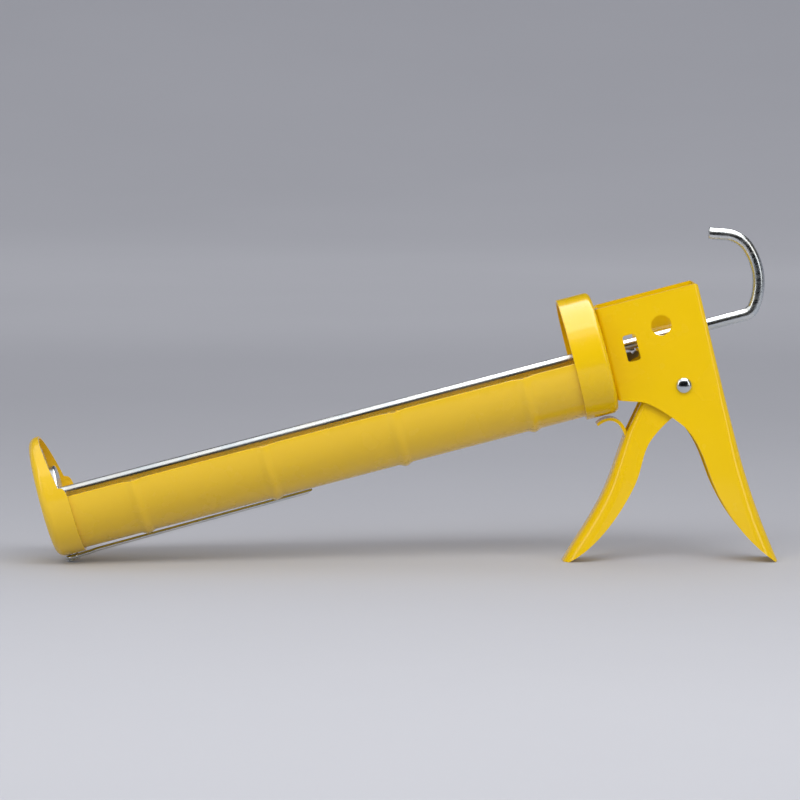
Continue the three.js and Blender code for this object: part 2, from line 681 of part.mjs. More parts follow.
place('cradle_trough', cradleTrough(), yellowPaint);
place('front_cap', frontCap(), yellowPaint);
place('rear_collar', rearCollar(), yellowPaint);
place('handle_frame', handleFrame(), yellowPaint);
rivetPlaces().forEach(([y, z], i) => {
  const behindFlange = GAP + FRAME_SHEET + GAP;
  const inside = i < 2 ? behindFlange : behindFlange + BRACKET_SHEET + GAP;
  const shape = rivet('x', [y, z], RIVET_R, 3.2, 1.5, -COLLAR_SHEET - GAP, inside);
  place(`collar_rivet_${i + 1}`, shape, zincSteel);
});
place('catch_bracket', catchBracket(), darkSteel);
place('catch_pin', headedPin(
  CATCH_PIN, CATCH_PIN_R, BRACKET_EAR + BRACKET_SHEET + GAP, 2.5,
), zincSteel);
place('back_catch', backCatch(), darkSteel);
place('catch_spring', torsionSpring(
  CATCH_PIN, 0.4, 2.3, 3.7, 5.1, 1.21, 90, [15.2, 3.7, -7.5], [4.4, 5.1, -15.2],
), springSteel);
place('trigger_pivot_rivet', rivet(
  'y', [PIVOT.x, PIVOT.z], PIVOT_R, 4.5, 2.6, -FRAME_HALF - GAP, FRAME_HALF + GAP,
), zincSteel);
place('trigger', triggerChannel(), yellowPaint);
place('trigger_return_spring', torsionSpring(
  PIVOT, 0.75, 4.4, -9.5, -1.5, 4.04, 115, [55, -9.5, -15.9], [22.6, -1.5, -35.3],
), springSteel);
place('drive_pawl_pin', headedPin(PAWL_PIN, PAWL_PIN_R, TRIGGER_HALF + GAP, 2.9), zincSteel);
place('drive_pawl', drivePawl(), darkSteel);
place('drive_pawl_spring', torsionSpring(
  PAWL_PIN, 0.45, 3.1, 3.9, 6.6, 2.65, 270, [33.5, 3.9, -15.8], [35.3, 6.6, -18],
), springSteel);
place('push_rod', pushRod(), zincSteel);
place('rod_washer', rodWasher(), zincSteel);
place('piston_plate', pistonPlate(), zincSteel);
place('piston_cup', pistonCup(), zincSteel);
place('piston_nut', pistonNut(), zincSteel);
place('seal_punch', sealPunch(), zincSteel);
place('seal_punch_rivet', punchRivet(), zincSteel);

// The row's origin: the middle of the box's base.
gun.updateMatrixWorld(true);
const bounds = new THREE.Box3().setFromObject(gun, true);
gun.position.set(
  -(bounds.min.x + bounds.max.x) / 2,
  -(bounds.min.y + bounds.max.y) / 2,
  -bounds.min.z,
);

const caulkingGun = new THREE.Group();
caulkingGun.add(gun);
export default caulkingGun;
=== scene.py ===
"""Looks for the ratchet-rod caulking gun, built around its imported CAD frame.

Every piece is drawn in the gun's own frame, in millimetres: X along the push rod towards the
handle with X = 0 at the collar's back face, Y across, Z up. The rod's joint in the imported
record says where that frame lies in the row frame.
"""

import json
import math

import bmesh
import bpy
from mathutils import Matrix, Vector


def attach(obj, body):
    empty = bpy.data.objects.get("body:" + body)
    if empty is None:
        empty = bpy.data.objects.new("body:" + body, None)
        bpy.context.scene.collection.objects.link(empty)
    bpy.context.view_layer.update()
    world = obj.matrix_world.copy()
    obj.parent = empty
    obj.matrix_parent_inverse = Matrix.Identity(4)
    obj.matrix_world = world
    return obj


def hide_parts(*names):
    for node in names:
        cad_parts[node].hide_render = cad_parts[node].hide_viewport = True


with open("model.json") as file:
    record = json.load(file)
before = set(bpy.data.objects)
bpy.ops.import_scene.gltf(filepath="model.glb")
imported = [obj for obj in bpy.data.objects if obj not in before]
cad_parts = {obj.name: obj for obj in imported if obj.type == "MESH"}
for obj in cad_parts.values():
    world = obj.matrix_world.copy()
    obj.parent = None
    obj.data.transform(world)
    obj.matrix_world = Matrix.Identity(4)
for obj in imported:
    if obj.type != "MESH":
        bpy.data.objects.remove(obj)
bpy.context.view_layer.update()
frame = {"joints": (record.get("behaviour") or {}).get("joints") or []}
MM = 0.001


def joint(name):
    """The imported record's joint of that name."""
    return next(j for j in frame["joints"] if j["name"] == name)


# ---- the gun's own frame ---------------------------------------------------------------

ORIGIN = Vector(joint("rod_turn")["pos_m"])
GUN_X = Vector(joint("rod_turn")["axis"]).normalized()
GUN_Y = Vector((0, 1, 0))
GUN_Z = GUN_X.cross(GUN_Y)
PITCH = math.atan2(GUN_X.z, GUN_X.x)
GUN = Matrix.Translation(ORIGIN) @ Matrix(
    [[GUN_X[i] * MM, GUN_Y[i] * MM, GUN_Z[i] * MM, 0] for i in range(3)] + [[0, 0, 0, 1]]
)

# ---- named sizes, in millimetres -------------------------------------------------------

GAP = 0.3
AXIS_R = 0.001

# How far cutters reach across the gun: past the cups, the folded sheets and the small levers.
CUP_REACH = 50
SHEET_REACH = 30
LEVER_REACH = 9

# The push rod: its hook's bends are (radius, degrees), its teeth lie between two places, and
# TOOTH_FLAT is the share of a tooth's pitch that its flat crest takes.
ROD_R = 3.5
ROD_FRONT = -321.3
HOOK_START = 82.6
HOOK_BENDS = ((7.6, 53), (36, 56), (17, 52))
HOOK_TAIL = 9.8
TEETH = (-288, 42)
TOOTH_PITCH = 5
TOOTH_DEPTH = 1.5
TOOTH_FLAT = 0.2
STUB_R = 2.4
STUB_FRONT = -327.85
THREAD_PITCH = 0.7

# The cradle and the two cups at its ends; the hood's step and top are (x, z).
CRADLE_R = 33.1
CRADLE_SHEET = 1.0
CRADLE_X = (-324.8, -2.6)
CRADLE_EDGE_Z = 0.5
BEADS = (-275.8, -200.3, -124.8, -49.3)
BEAD_HALF = 4.6
BEAD_HEIGHT = 1.4
BEAD_EDGE_HEIGHT = 0.5
BEAD_FADE_DEGREES = 45
BEAD_DIP = 0.75
BEAD_DIP_HALF = 4.5
CAP_R = 34.8
CAP_SHEET = 1.4
CAP_FACE = -329.45
CAP_EDGE_R = 5
CAP_BACK = -313
CAP_STEP = (-317.5, 6.3)
HOOD_TOP = (-323.6, 37)
SLOT = 10.5
SLOT_TOP_Z = 13
COLLAR_R = 35.1
COLLAR_SHEET = 1.7
COLLAR_DEPTH = 19.3
COLLAR_EDGE_R = 3.2
CAP_HOLE_R = 4
ROD_HOLE_R = 4.3

# The handle frame: its sight window is x0, x1, z0, z1, corner; its round hole is x, z, radius.
FRAME_HALF = 16
FRAME_SHEET = 1.8
FRAME_TOP = 25.7
FRAME_REAR = 60.2
FLANGE_GAP = 6
FLANGE_FLAT = 4
FLANGE_BEND = 2.6
WINDOW = (11.2, 18.6, -8.1, 7.1, 1.6)
ACCESS = (34.3, 7.7, 5.8)
RIVET_Y = 10.6
RIVET_Z = 17
RIVET_R = 1.8
RIVET_HEAD_R = 3.2

# The trigger and the ratchet: pins are (x, z), and an ear's place is half the space between.
PIVOT = (38.2, -28.6)
PIVOT_R = 2.5
PIVOT_HEAD_R = 4.5
TRIGGER_HALF = 12.6
TRIGGER_SHEET = 1.5
TRIGGER_DEEP = 40
PAWL_PIN = (43.2, -12.7)
PAWL_PIN_R = 2
PAWL_R = 3.6
CATCH_PIN = (8.2, -9.8)
CATCH_PIN_R = 1.6
CATCH_R = 2.8
LEVER_HALF = 3
BRACKET_EAR = 5.6
BRACKET_SHEET = 1.2

# The piston on the rod's front end.
PLATE_R = 29.3
PLATE_EDGE_R = 1.9
PLATE_FRONT = -324.9
PLATE_SHEET = 1.5
PLATE_RIM_FRONT = -327.6
CUP_R = 16.5
CUP_BACK = -318.1
CUP_SHEET = 1.4
CUP_EDGE_R = 1.3
WASHER_R = 7
NUT_R = 4.9
NUT_FRONT = -327.7

# The seal punch under the nose.
PUNCH_X = -321.6
PUNCH_R = 1.2
PUNCH_LENGTH = 141.6
PUNCH_SWING = 5.5
PUNCH_LIFT = 0.4
PUNCH_DROP = 0.4
PUNCH_RIVET_R = 1.8
PUNCH_HEAD_Z = -38.9

# ---- outlines --------------------------------------------------------------------------


def bezier(points, steps):
    """Points along a Bezier curve of any degree, without its first point."""
    out = []
    for k in range(1, steps + 1):
        row = [Vector(p) for p in points]
        t = k / steps
        while len(row) > 1:
            row = [a.lerp(b, t) for a, b in zip(row, row[1:])]
        out.append(tuple(row[0]))
    return out


def arc(cx, cz, radius, start, end, steps):
    """Points round a circle, between two angles in degrees."""
    out = []
    for k in range(steps + 1):
        a = math.radians(start + (end - start) * k / steps)
        out.append((cx + radius * math.cos(a), cz + radius * math.sin(a)))
    return out


def circle(cx, cz, radius, sides):
    """The corners of a closed ring round a centre."""
    return arc(cx, cz, radius, 0, 360 - 360 / sides, sides - 1)


def outline(start, *parts, steps=14):
    """A polygon from a start point and parts: 2 numbers a line, 4 or 6 a Bezier curve."""
    points = [start]
    for part in parts:
        if len(part) == 2:
            points.append(part)
        else:
            ends = [points[-1]] + [part[i : i + 2] for i in range(0, len(part), 2)]
            points += bezier(ends, steps)
    return points


def rounded_box(x0, x1, z0, z1, r, steps=6):
    """A rectangle with round corners, from its lower right corner round."""
    points = []
    corners = (
        (x1 - r, z0 + r, -90), (x1 - r, z1 - r, 0), (x0 + r, z1 - r, 90), (x0 + r, z0 + r, 180),
    )
    for cx, cz, a in corners:
        points += arc(cx, cz, r, a, a + 90, steps)
    return points


def lookup(pairs, x):
    """Smooth value at x between listed (x, value) pairs."""
    pairs = sorted(pairs)
    if x <= pairs[0][0]:
        return pairs[0][1]
    for (x0, v0), (x1, v1) in zip(pairs, pairs[1:]):
        if x <= x1:
            t = (x - x0) / (x1 - x0)
            return v0 + (v1 - v0) * t * t * (3 - 2 * t)
    return pairs[-1][1]


# ---- meshes ----------------------------------------------------------------------------


def solid(verts, faces):
    """A scratch object, in gun millimetres, with its normals outwards."""
    mesh = bpy.data.meshes.new("scratch")
    mesh.from_pydata([tuple(v) for v in verts], [], faces)
    bm = bmesh.new()
    bm.from_mesh(mesh)
    bmesh.ops.remove_doubles(bm, verts=bm.verts, dist=0.0005)
    bmesh.ops.recalc_face_normals(bm, faces=bm.faces)
    bm.to_mesh(mesh)
    bm.free()
    obj = bpy.data.objects.new("scratch", mesh)
    bpy.context.scene.collection.objects.link(obj)
    return obj


def apply_modifiers(obj):
    """Keeps what the object's modifiers make, and drops the modifiers."""
    graph = bpy.context.evaluated_depsgraph_get()
    graph.update()
    mesh = bpy.data.meshes.new_from_object(obj.evaluated_get(graph))
    obj.modifiers.clear()
    old = obj.data
    obj.data = mesh
    bpy.data.meshes.remove(old)


def combine(target, cutters, operation="DIFFERENCE"):
    """Cuts the cutters from the target, or joins or intersects them with it, in place."""
    for cutter in cutters:
        mod = target.modifiers.new("combine", "BOOLEAN")
        mod.operation = operation
        mod.solver = "EXACT"
        mod.object = cutter
    apply_modifiers(target)
    for cutter in cutters:
        bpy.data.objects.remove(cutter)
    bm = bmesh.new()
    bm.from_mesh(target.data)
    bmesh.ops.remove_doubles(bm, verts=bm.verts, dist=0.003)
    bmesh.ops.dissolve_degenerate(bm, edges=bm.edges, dist=0.001)
    bm.to_mesh(target.data)
    bm.free()


def grid_faces(rows, columns, closed_rows=False, closed_columns=False):
    """Four-sided faces between a grid of points, listed row by row, which may close on itself."""
    faces = []
    for i in range(rows if closed_rows else rows - 1):
        for j in range(columns if closed_columns else columns - 1):
            a, b = i * columns, ((i + 1) % rows) * columns
            k = (j + 1) % columns
            faces.append((a + j, a + k, b + k, b + j))
    return faces


AXES = {"x": (0, 1, 2), "y": (1, 2, 0), "z": (2, 0, 1)}


def revolve(loop, axis="x", centre=(0, 0), segments=96):
    """Turns a closed loop of (place along axis, radius) round an axis through centre."""
    order = AXES[axis]
    verts = []
    for s in range(segments):
        a = 2 * math.pi * s / segments
        for along, r in loop:
            p = [0, 0, 0]
            p[order[0]] = along
            p[order[1]] = r * math.cos(a)
            p[order[2]] = r * math.sin(a)
            verts.append(p)
    shift = {"x": (0, *centre), "y": (centre[0], 0, centre[1]), "z": (*centre, 0)}[axis]
    verts = [[c + d for c, d in zip(v, shift)] for v in verts]
    return solid(verts, grid_faces(segments, len(loop), True, True))


def between(near, far):
    """The solid between two copies of one outline."""
    n = len(near)
    faces = [tuple(range(n)), tuple(range(2 * n - 1, n - 1, -1))]
    faces += [(i, (i + 1) % n, n + (i + 1) % n, n + i) for i in range(n)]
    return solid(near + far, faces)


def prism(points, y0, y1):
    """A side-view outline, in X and Z, carried across from y0 to y1."""
    return between([(x, y0, z) for x, z in points], [(x, y1, z) for x, z in points])


def lengthwise(points, x0, x1):
    """An end-view outline, in Y and Z, carried along from x0 to x1."""
    return between([(x0, y, z) for y, z in points], [(x1, y, z) for y, z in points])


def pin_hole(pin, radius, reach, sides=36):
    """A cutter for a round hole across the gun."""
    return prism(circle(*pin, radius, sides), -reach, reach)


def shell(outer, inner):
    """A closed sheet between two grids of points of the same size."""
    rows, columns = len(outer), len(outer[0])
    verts = [p for row in outer for p in row] + [p for row in inner for p in row]
    faces = grid_faces(rows, columns)
    n = rows * columns
    faces += [tuple(n + k for k in reversed(f)) for f in faces]
    for i in range(rows - 1):
        a, b = i * columns, (i + 1) * columns
        faces.append((a, n + a, n + b, b))
        c, d = a + columns - 1, b + columns - 1
        faces.append((c, d, n + d, n + c))
    for j in range(columns - 1):
        faces.append((j, j + 1, n + j + 1, n + j))
        k = (rows - 1) * columns + j
        faces.append((k, n + k, n + k + 1, k + 1))
    return solid(verts, faces)


def tube(points, radius, sides, tip):
    """Sweeps a round wire through listed points, its two ends chamfered by tip."""
    path = [Vector(p) for p in points]
    rings = []
    normal = None
    for i, p in enumerate(path):
        before = path[max(i - 1, 0)]
        after = path[min(i + 1, len(path) - 1)]
        tangent = (after - before).normalized()
        if normal is None:
            normal = tangent.orthogonal().normalized()
        normal = (normal - tangent * normal.dot(tangent)).normalized()
        side = tangent.cross(normal)
        if i == 0:
            rings += [(p, normal, side, radius - tip), (p + tangent * tip, normal, side, radius)]
        elif i == len(path) - 1:
            rings += [(p - tangent * tip, normal, side, radius), (p, normal, side, radius - tip)]
        else:
            rings.append((p, normal, side, radius))
    verts = []
    for p, n, s, r in rings:
        for k in range(sides):
            a = 2 * math.pi * k / sides
            verts.append(p + (n * math.cos(a) + s * math.sin(a)) * r)
    faces = grid_faces(len(rings), sides, False, True)
    faces.append(tuple(range(sides)))
    start = (len(rings) - 1) * sides
    faces.append(tuple(start + k for k in reversed(range(sides))))
    return solid(verts, faces)


def round_edges(obj, width, segments, degrees):
    """Rounds every edge where two faces meet at more than that many degrees."""
    mod = obj.modifiers.new("round", "BEVEL")
    mod.width = width
    mod.segments = segments
    mod.limit_method = "ANGLE"
    mod.angle_limit = math.radians(degrees)
    mod.use_clamp_overlap = True
    mod.miter_outer = "MITER_ARC"
    apply_modifiers(obj)


def finish_piece(obj, name, body, material, nodes, sharp=40):
    obj.name = name
    obj.data.name = name
    obj.data.transform(GUN)
    obj.data.shade_smooth()
    obj.data.set_sharp_from_angle(angle=math.radians(sharp))
    mod = obj.modifiers.new("weights", "WEIGHTED_NORMAL")
    mod.keep_sharp = True
    mod.weight = 90
    apply_modifiers(obj)
    obj.data.name = name
    obj.data.materials.clear()
    obj.data.materials.append(material)
    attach(obj, body)
    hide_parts(*nodes)


# ---- materials -------------------------------------------------------------------------


class Nodes:
    """A small helper to build one node material."""

    def __init__(self, name):
        self.material = bpy.data.materials.new(name)
        self.material.use_nodes = True
        self.tree = self.material.node_tree
        self.shader = self.tree.nodes["Principled BSDF"]

    def add(self, kind, links, values):
        """Adds a node with its linked sockets and its constant ones."""
        node = self.tree.nodes.new(kind)
        for socket, value in values.items():
            node.inputs[socket].default_value = value
        for socket, source in links.items():
            self.tree.links.new(source, node.inputs[socket])
        return node

    def set(self, **values):
        """Sets constants on the shader's own sockets, with _ for a space in a socket's name."""
        for key, value in values.items():
            self.shader.inputs[key.replace("_", " ")].default_value = value

    def link(self, socket, source):
        """Links a source to one of the shader's sockets."""
        self.tree.links.new(source, self.shader.inputs[socket])

    def places(self, stretch=(1, 1, 1)):
        """Object coordinates turned into the gun's frame and stretched along its axes."""
        coords = self.add("ShaderNodeTexCoord", {}, {}).outputs["Object"]
        turned = self.add("ShaderNodeMapping", {"Vector": coords}, {"Rotation": (0, PITCH, 0)})
        scaled = self.add("ShaderNodeMapping", {"Vector": turned.outputs["Vector"]},
                          {"Scale": stretch})
        return scaled.outputs["Vector"]

    def noise(self, scale, detail, rough=0.5, stretch=(1, 1, 1)):
        """Cloudy noise from 0 to 1, its scale in waves a metre."""
        node = self.add("ShaderNodeTexNoise", {"Vector": self.places(stretch)},
                        {"Scale": scale, "Detail": detail, "Roughness": rough})
        return node.outputs["Fac"]

    def ramp(self, source, *stops):
        """A colour ramp: stops are (place, colour)."""
        node = self.add("ShaderNodeValToRGB", {"Fac": source}, {})
        ramp = node.color_ramp
        while len(ramp.elements) < len(stops):
            ramp.elements.new(0.5)
        for element, (place, colour) in zip(ramp.elements, stops):
            element.position = place
            element.color = (*colour, 1)
        return node.outputs["Color"]

    def spread(self, source, low, high, start=0.0, end=1.0):
        """Carries the source's range from start to end over to low to high."""
        node = self.add("ShaderNodeMapRange", {"Value": source},
                        {"From Min": start, "From Max": end, "To Min": low, "To Max": high})
        return node.outputs["Result"]

    def bump(self, height, strength, distance, under=None):
        """A bump of that distance in metres, on top of another one where under is given."""
        links = {"Height": height}
        if under is not None:
            links["Normal"] = under
        node = self.add("ShaderNodeBump", links, {"Strength": strength, "Distance": distance})
        return node.outputs["Normal"]


def enamel(name, blue):
    """Glossy baked enamel over steel sheet, with a fine orange peel."""
    m = Nodes(name)
    tone = m.noise(9, 4, 0.55)
    m.link("Base Color", m.ramp(
        tone, (0.3, (0.81, 0.518, blue)), (0.52, (0.83, 0.532, blue)), (0.72, (0.85, 0.547, blue)),
    ))
    m.link("Roughness", m.spread(m.noise(60, 4), 0.22, 0.3, 0.3, 0.7))
    peel = m.noise(650, 2, 0.45)
    waves = m.noise(55, 2, 0.4)
    soft = m.bump(waves, 0.12, 0.0004)
    m.link("Normal", m.bump(peel, 0.05, 0.0001, soft))
    m.set(Specular_IOR_Level=0.3, Coat_Weight=0.5, Coat_Roughness=0.08, Coat_IOR=1.5)
    return m.material


def zinc(name, stretch=(1, 1, 1), grain=600, rough=(0.16, 0.3)):
    """Bright zinc plating: cool grey with faint blue and straw patches and fine drawn lines."""
    m = Nodes(name)
    m.link("Base Color", m.ramp(
        m.noise(45, 3, 0.6), (0.32, (0.60, 0.66, 0.70)), (0.5, (0.72, 0.75, 0.76)),
        (0.66, (0.78, 0.78, 0.74)), (0.8, (0.70, 0.74, 0.78)),
    ))
    lines = m.noise(grain, 3, 0.6, stretch)
    m.link("Roughness", m.spread(lines, *rough, 0.3, 0.7))
    m.link("Normal", m.bump(lines, 0.12, 0.00006))
    m.set(Metallic=1.0)
    return m.material


def steel(name, dark, light, rough=(0.3, 0.5)):
    """Plain steel with tool marks and a film of oil."""
    m = Nodes(name)
    m.link("Base Color", m.ramp(m.noise(160, 4, 0.6), (0.35, dark), (0.7, light)))
    marks = m.noise(900, 3, 0.6, (1, 4, 1))
    m.link("Roughness", m.spread(marks, *rough, 0.3, 0.7))
    m.link("Normal", m.bump(marks, 0.15, 0.00008))
    m.set(Metallic=1.0)
    return m.material


ENAMEL = enamel("yellow_enamel", 0.0)
# A second copy of the yellow enamel, with a little blue in its base colour so its yellow is a touch
# less saturated; it goes on the cradle and the nose cap.
ENAMEL_BLUISH = enamel("yellow_enamel_rolled_sheet", 0.02)
ZINC_ROD = zinc("zinc_drawn_rod", (0.03, 1, 1), 500, (0.2, 0.36))
ZINC_TURNED = zinc("zinc_pressed", (1, 1, 1), 350)
ZINC_SMALL = zinc("zinc_fasteners", (1, 1, 1), 900, (0.12, 0.24))
DARK = steel("hardened_steel", (0.30, 0.31, 0.32), (0.46, 0.47, 0.48))
SPRING = steel("spring_wire", (0.42, 0.43, 0.44), (0.58, 0.58, 0.58), (0.2, 0.36))

# ---- cradle ----------------------------------------------------------------------------

CRADLE_COLUMNS = 96
CRADLE_STEP = 5.0
BEAD_STEP = 0.55
BEAD_NEAR = 9
BEAD_NEAR_FROM = 8.4


def from_bead(x):
    """How far x is from the middle of the nearest bead."""
    return min(abs(x - bead) for bead in BEADS)


def bead_at(x):
    """How far into the nearest bead x lies: 1 at its crest, 0 outside it."""
    t = from_bead(x) / BEAD_HALF
    return math.cos(math.pi / 2 * t) ** 2 if t < 1 else 0.0


def cradle_places():
    """Places along the cradle, close together at every bead."""
    places = []
    x = CRADLE_X[0]
    while x < CRADLE_X[1]:
        places.append(x)
        near = from_bead(x)
        x += BEAD_STEP if near < BEAD_NEAR else min(CRADLE_STEP, near - BEAD_NEAR_FROM)
    return places + [CRADLE_X[1]]


def cradle():
    """The half-round trough; its beads are lower near its edges, which dip at each bead."""
    outer, inner = [], []
    for x in cradle_places():
        dip = BEAD_DIP * math.exp(-(from_bead(x) / BEAD_DIP_HALF) ** 2)
        edge = math.asin((CRADLE_EDGE_Z - dip) / CRADLE_R)
        row_out, row_in = [], []
        for j in range(CRADLE_COLUMNS + 1):
            a = -math.pi - edge + (math.pi + 2 * edge) * j / CRADLE_COLUMNS
            from_edge = min(j, CRADLE_COLUMNS - j) / CRADLE_COLUMNS * 180
            fade = min(1.0, from_edge / BEAD_FADE_DEGREES) ** 0.8
            grow = BEAD_EDGE_HEIGHT + (1 - BEAD_EDGE_HEIGHT) * fade
            r = CRADLE_R + BEAD_HEIGHT * bead_at(x) * grow
            for row, radius in ((row_out, r), (row_in, r - CRADLE_SHEET)):
                row.append((x, radius * math.cos(a), radius * math.sin(a)))
        outer.append(row_out)
        inner.append(row_in)
    trough = shell(outer, inner)
    round_edges(trough, 0.32, 3, 50)
    finish_piece(trough, "cradle", "frame", ENAMEL_BLUISH, ["cradle_trough"])


# ---- cups at the cradle's ends ---------------------------------------------------------

FACE_RINGS = 6


def cup_loop(face, back, radius, sheet, edge, hole, steps):
    """The turned section of a drawn cup: face, rounded edge and rim, outside then inside."""
    way = 1 if back > face else -1
    flat = radius - edge
    face_radii = [hole + (flat - hole) * k / FACE_RINGS for k in range(FACE_RINGS)]
    loop = [(face, r) for r in face_radii]
    for k in range(steps + 1):
        a = math.pi / 2 * k / steps
        loop.append((face + way * edge * (1 - math.cos(a)), flat + edge * math.sin(a)))
    loop += [(back, radius), (back, radius - sheet)]
    small = edge - sheet
    for k in range(steps + 1):
        a = math.pi / 2 * (1 - k / steps)
        loop.append((face + way * (edge - small * math.cos(a)), flat + small * math.sin(a)))
    return loop + [(face + way * sheet, r) for r in reversed(face_radii)]


def front_cap():
    """The cup at the nose, its upper rim cut back to a hood, with a slot for the nozzle."""
    loop = cup_loop(CAP_FACE, CAP_BACK, CAP_R, CAP_SHEET, CAP_EDGE_R, CAP_HOLE_R, 10)
    cup = revolve(loop, segments=160)
    past = CAP_BACK + 1
    x, z = CAP_STEP
    hood = outline(
        (past, HOOD_TOP[1]), HOOD_TOP, (-320, 20, x, z + 0.9), (x, z, x + 0.8, z - 0.1),
        (CAP_BACK - 3, z - 0.3), (CAP_BACK - 0.4, z - 0.7, CAP_BACK, -1.8), (past, -1.8),
    )
    slot = arc(0, 0, SLOT, 180, 360, 40) + arc(0, SLOT_TOP_Z, SLOT, 0, 180, 40)
    cutters = [prism(hood, -CUP_REACH, CUP_REACH), lengthwise(slot, CAP_FACE - 4, CAP_FACE + 4)]
    combine(cup, cutters)
    round_edges(cup, 0.4, 3, 50)
    finish_piece(cup, "nose_cap", "frame", ENAMEL_BLUISH, ["front_cap"])


def rear_collar():
    """The deeper cup at the back of the cradle, with a hole for the rod."""
    loop = cup_loop(0, -COLLAR_DEPTH, COLLAR_R, COLLAR_SHEET, COLLAR_EDGE_R, ROD_HOLE_R, 8)
    cup = revolve(loop, segments=160)
    round_edges(cup, 0.4, 3, 50)
    finish_piece(cup, "collar_cup", "frame", ENAMEL, ["rear_collar"])


# ---- handle frame ----------------------------------------------------------------------

# The handle's rear line as (z, x), and the radius of its rear bends as (z, radius).
REAR_X = ((FRAME_TOP, FRAME_REAR), (0, 59.9), (-28, 59.5), (-52, 59.4), (-78, 59.6), (-90, 60.1),
          (-102, 60.9), (-117, 62.4), (-131.6, 64.4), (-140, 65.65), (-150, 67.1))
REAR_BEND = ((30, 3.0), (0, 3.2), (-25, 3.7), (-50, 5.0), (-85, 6.8), (-120, 8.0), (-145, 8.4))
SECTION_STEP = 2.0
SECTIONS = 86


def rear_x(z):
    """The handle's rear line: a smooth curve through REAR_X."""
    pts = sorted(REAR_X)
    last = len(pts) - 2
    i = next((i for i in range(last) if z <= pts[i + 1][0]), last)
    (z0, x0), (z1, x1) = pts[i], pts[i + 1]
    before = pts[max(i - 1, 0)]
    after = pts[min(i + 2, last + 1)]
    m0 = (x1 - before[1]) / (z1 - before[0]) * (z1 - z0)
    m1 = (after[1] - x0) / (after[0] - z0) * (z1 - z0)
    t = (z - z0) / (z1 - z0)
    return ((2 * t**3 - 3 * t**2 + 1) * x0 + (t**3 - 2 * t**2 + t) * m0
            + (3 * t**2 - 2 * t**3) * x1 + (t**3 - t**2) * m1)


def frame_section(z, inset):
    """Half of the folded sheet's section at height z: front flange, near side, half web."""
    rear = rear_x(z) - inset
    side = FRAME_HALF - inset
    front = GAP + inset
    flange = FLANGE_BEND - inset
    rear_r = lookup(REAR_BEND, z) - inset
    points = [(front, -FLANGE_GAP), (front, -FLANGE_GAP - FLANGE_FLAT)]
    x0, x1 = front + flange, rear - rear_r
    for k in range(9):
        a = math.pi + math.pi / 2 * k / 8
        points.append((x0 + flange * math.cos(a), -side + flange + flange * math.sin(a)))
    points += [(x0 + (x1 - x0) * k / 10, -side) for k in range(1, 11)]
    for k in range(1, 13):
        a = -math.pi / 2 + math.pi / 2 * k / 12
        points.append((x1 + rear_r * math.cos(a), -side + rear_r + rear_r * math.sin(a)))
    points += [(rear, (-side + rear_r) * (1 - k / 3)) for k in range(1, 4)]
    return points


def frame_outline():
    """The handle frame from its side, from its top front corner round."""
    return outline(
        (-3, FRAME_TOP), (57.5, FRAME_TOP), (FRAME_REAR, FRAME_TOP, 60.4, FRAME_TOP - 2.6),
        (72, FRAME_TOP - 3), (72, -138.2), (65.8, -138.2), (65.4, -139.8, 64.2, -139.85),
        (54, -127.5, 44.6, -112, 40.6, -87), (39.1, -76, 39.4, -62, 32.4, -51),
        (26, -42.6, 17.5, -33, 11.7, -31.4), (GAP, -27.6), (-3, -27.2), steps=26,
    )


def handle_frame():
    """One folded sheet: two flanges on the collar, two side plates and a rear web."""
    outer, inner = [], []
    for k in range(SECTIONS):
        z = FRAME_TOP + SECTION_STEP * (1 - k)
        for rows, inset in ((outer, 0), (inner, FRAME_SHEET)):
            half = frame_section(z, inset)
            other = [(x, -y) for x, y in reversed(half[:-1])]
            rows.append([(x, y, z) for x, y in half + other])
    channel = shell(outer, inner)
    combine(channel, [prism(frame_outline(), -SHEET_REACH, SHEET_REACH)], "INTERSECT")
    cutters = [
        prism(rounded_box(*WINDOW), -SHEET_REACH, SHEET_REACH),
        prism(circle(*ACCESS, 60), -SHEET_REACH, -FRAME_HALF / 2),
        pin_hole(PIVOT, PIVOT_R + GAP, SHEET_REACH),
        lengthwise(circle(0, 0, ROD_HOLE_R, 45), FRAME_REAR - 10, FRAME_REAR + 10),
    ]
    combine(channel, cutters)
    round_edges(channel, 0.45, 3, 40)
    finish_piece(channel, "handle", "frame", ENAMEL, ["handle_frame"])


# ---- trigger ---------------------------------------------------------------------------

# The radius of the trigger's front bends, as (how far down the front line, radius).
TRIGGER_BEND = ((0, 3.2), (16, 4.2), (32, 6.2), (60, 8.0), (100, 8.4))
TRIGGER_LEAD = 10
TRIGGER_SPACES = 80
TAB_ROOT = (-0.6, -48.6)
TAB_WAY = Vector((12.6, 15.1)).normalized()
TAB_HALF = 7


def trigger_front():
    """The trigger's front line, extended past both ends, as evenly spaced points."""
    line = outline((20.4, -23.4), (12, -33.5), TAB_ROOT, (-7.5, -58, -15, -72, -27.6, -85),
                   (-37, -95, -46, -102, -51.4, -107.9), (-58.5, -115.7), steps=60)
    lengths = [0.0]
    for a, b in zip(line, line[1:]):
        lengths.append(lengths[-1] + math.dist(a, b))
    spaced, i = [], 0
    for k in range(TRIGGER_SPACES + 1):
        goal = lengths[-1] * k / TRIGGER_SPACES
        while i < len(line) - 2 and lengths[i + 1] < goal:
            i += 1
        t = (goal - lengths[i]) / (lengths[i + 1] - lengths[i])
        a, b = line[i], line[i + 1]
        spaced.append((a[0] + (b[0] - a[0]) * t, a[1] + (b[1] - a[1]) * t))
    for _ in range(3):
        inner = [tuple((a[c] + 2 * b[c] + d[c]) / 4 for c in (0, 1))
                 for a, b, d in zip(spaced, spaced[1:], spaced[2:])]
        spaced = [spaced[0]] + inner + [spaced[-1]]
    return spaced


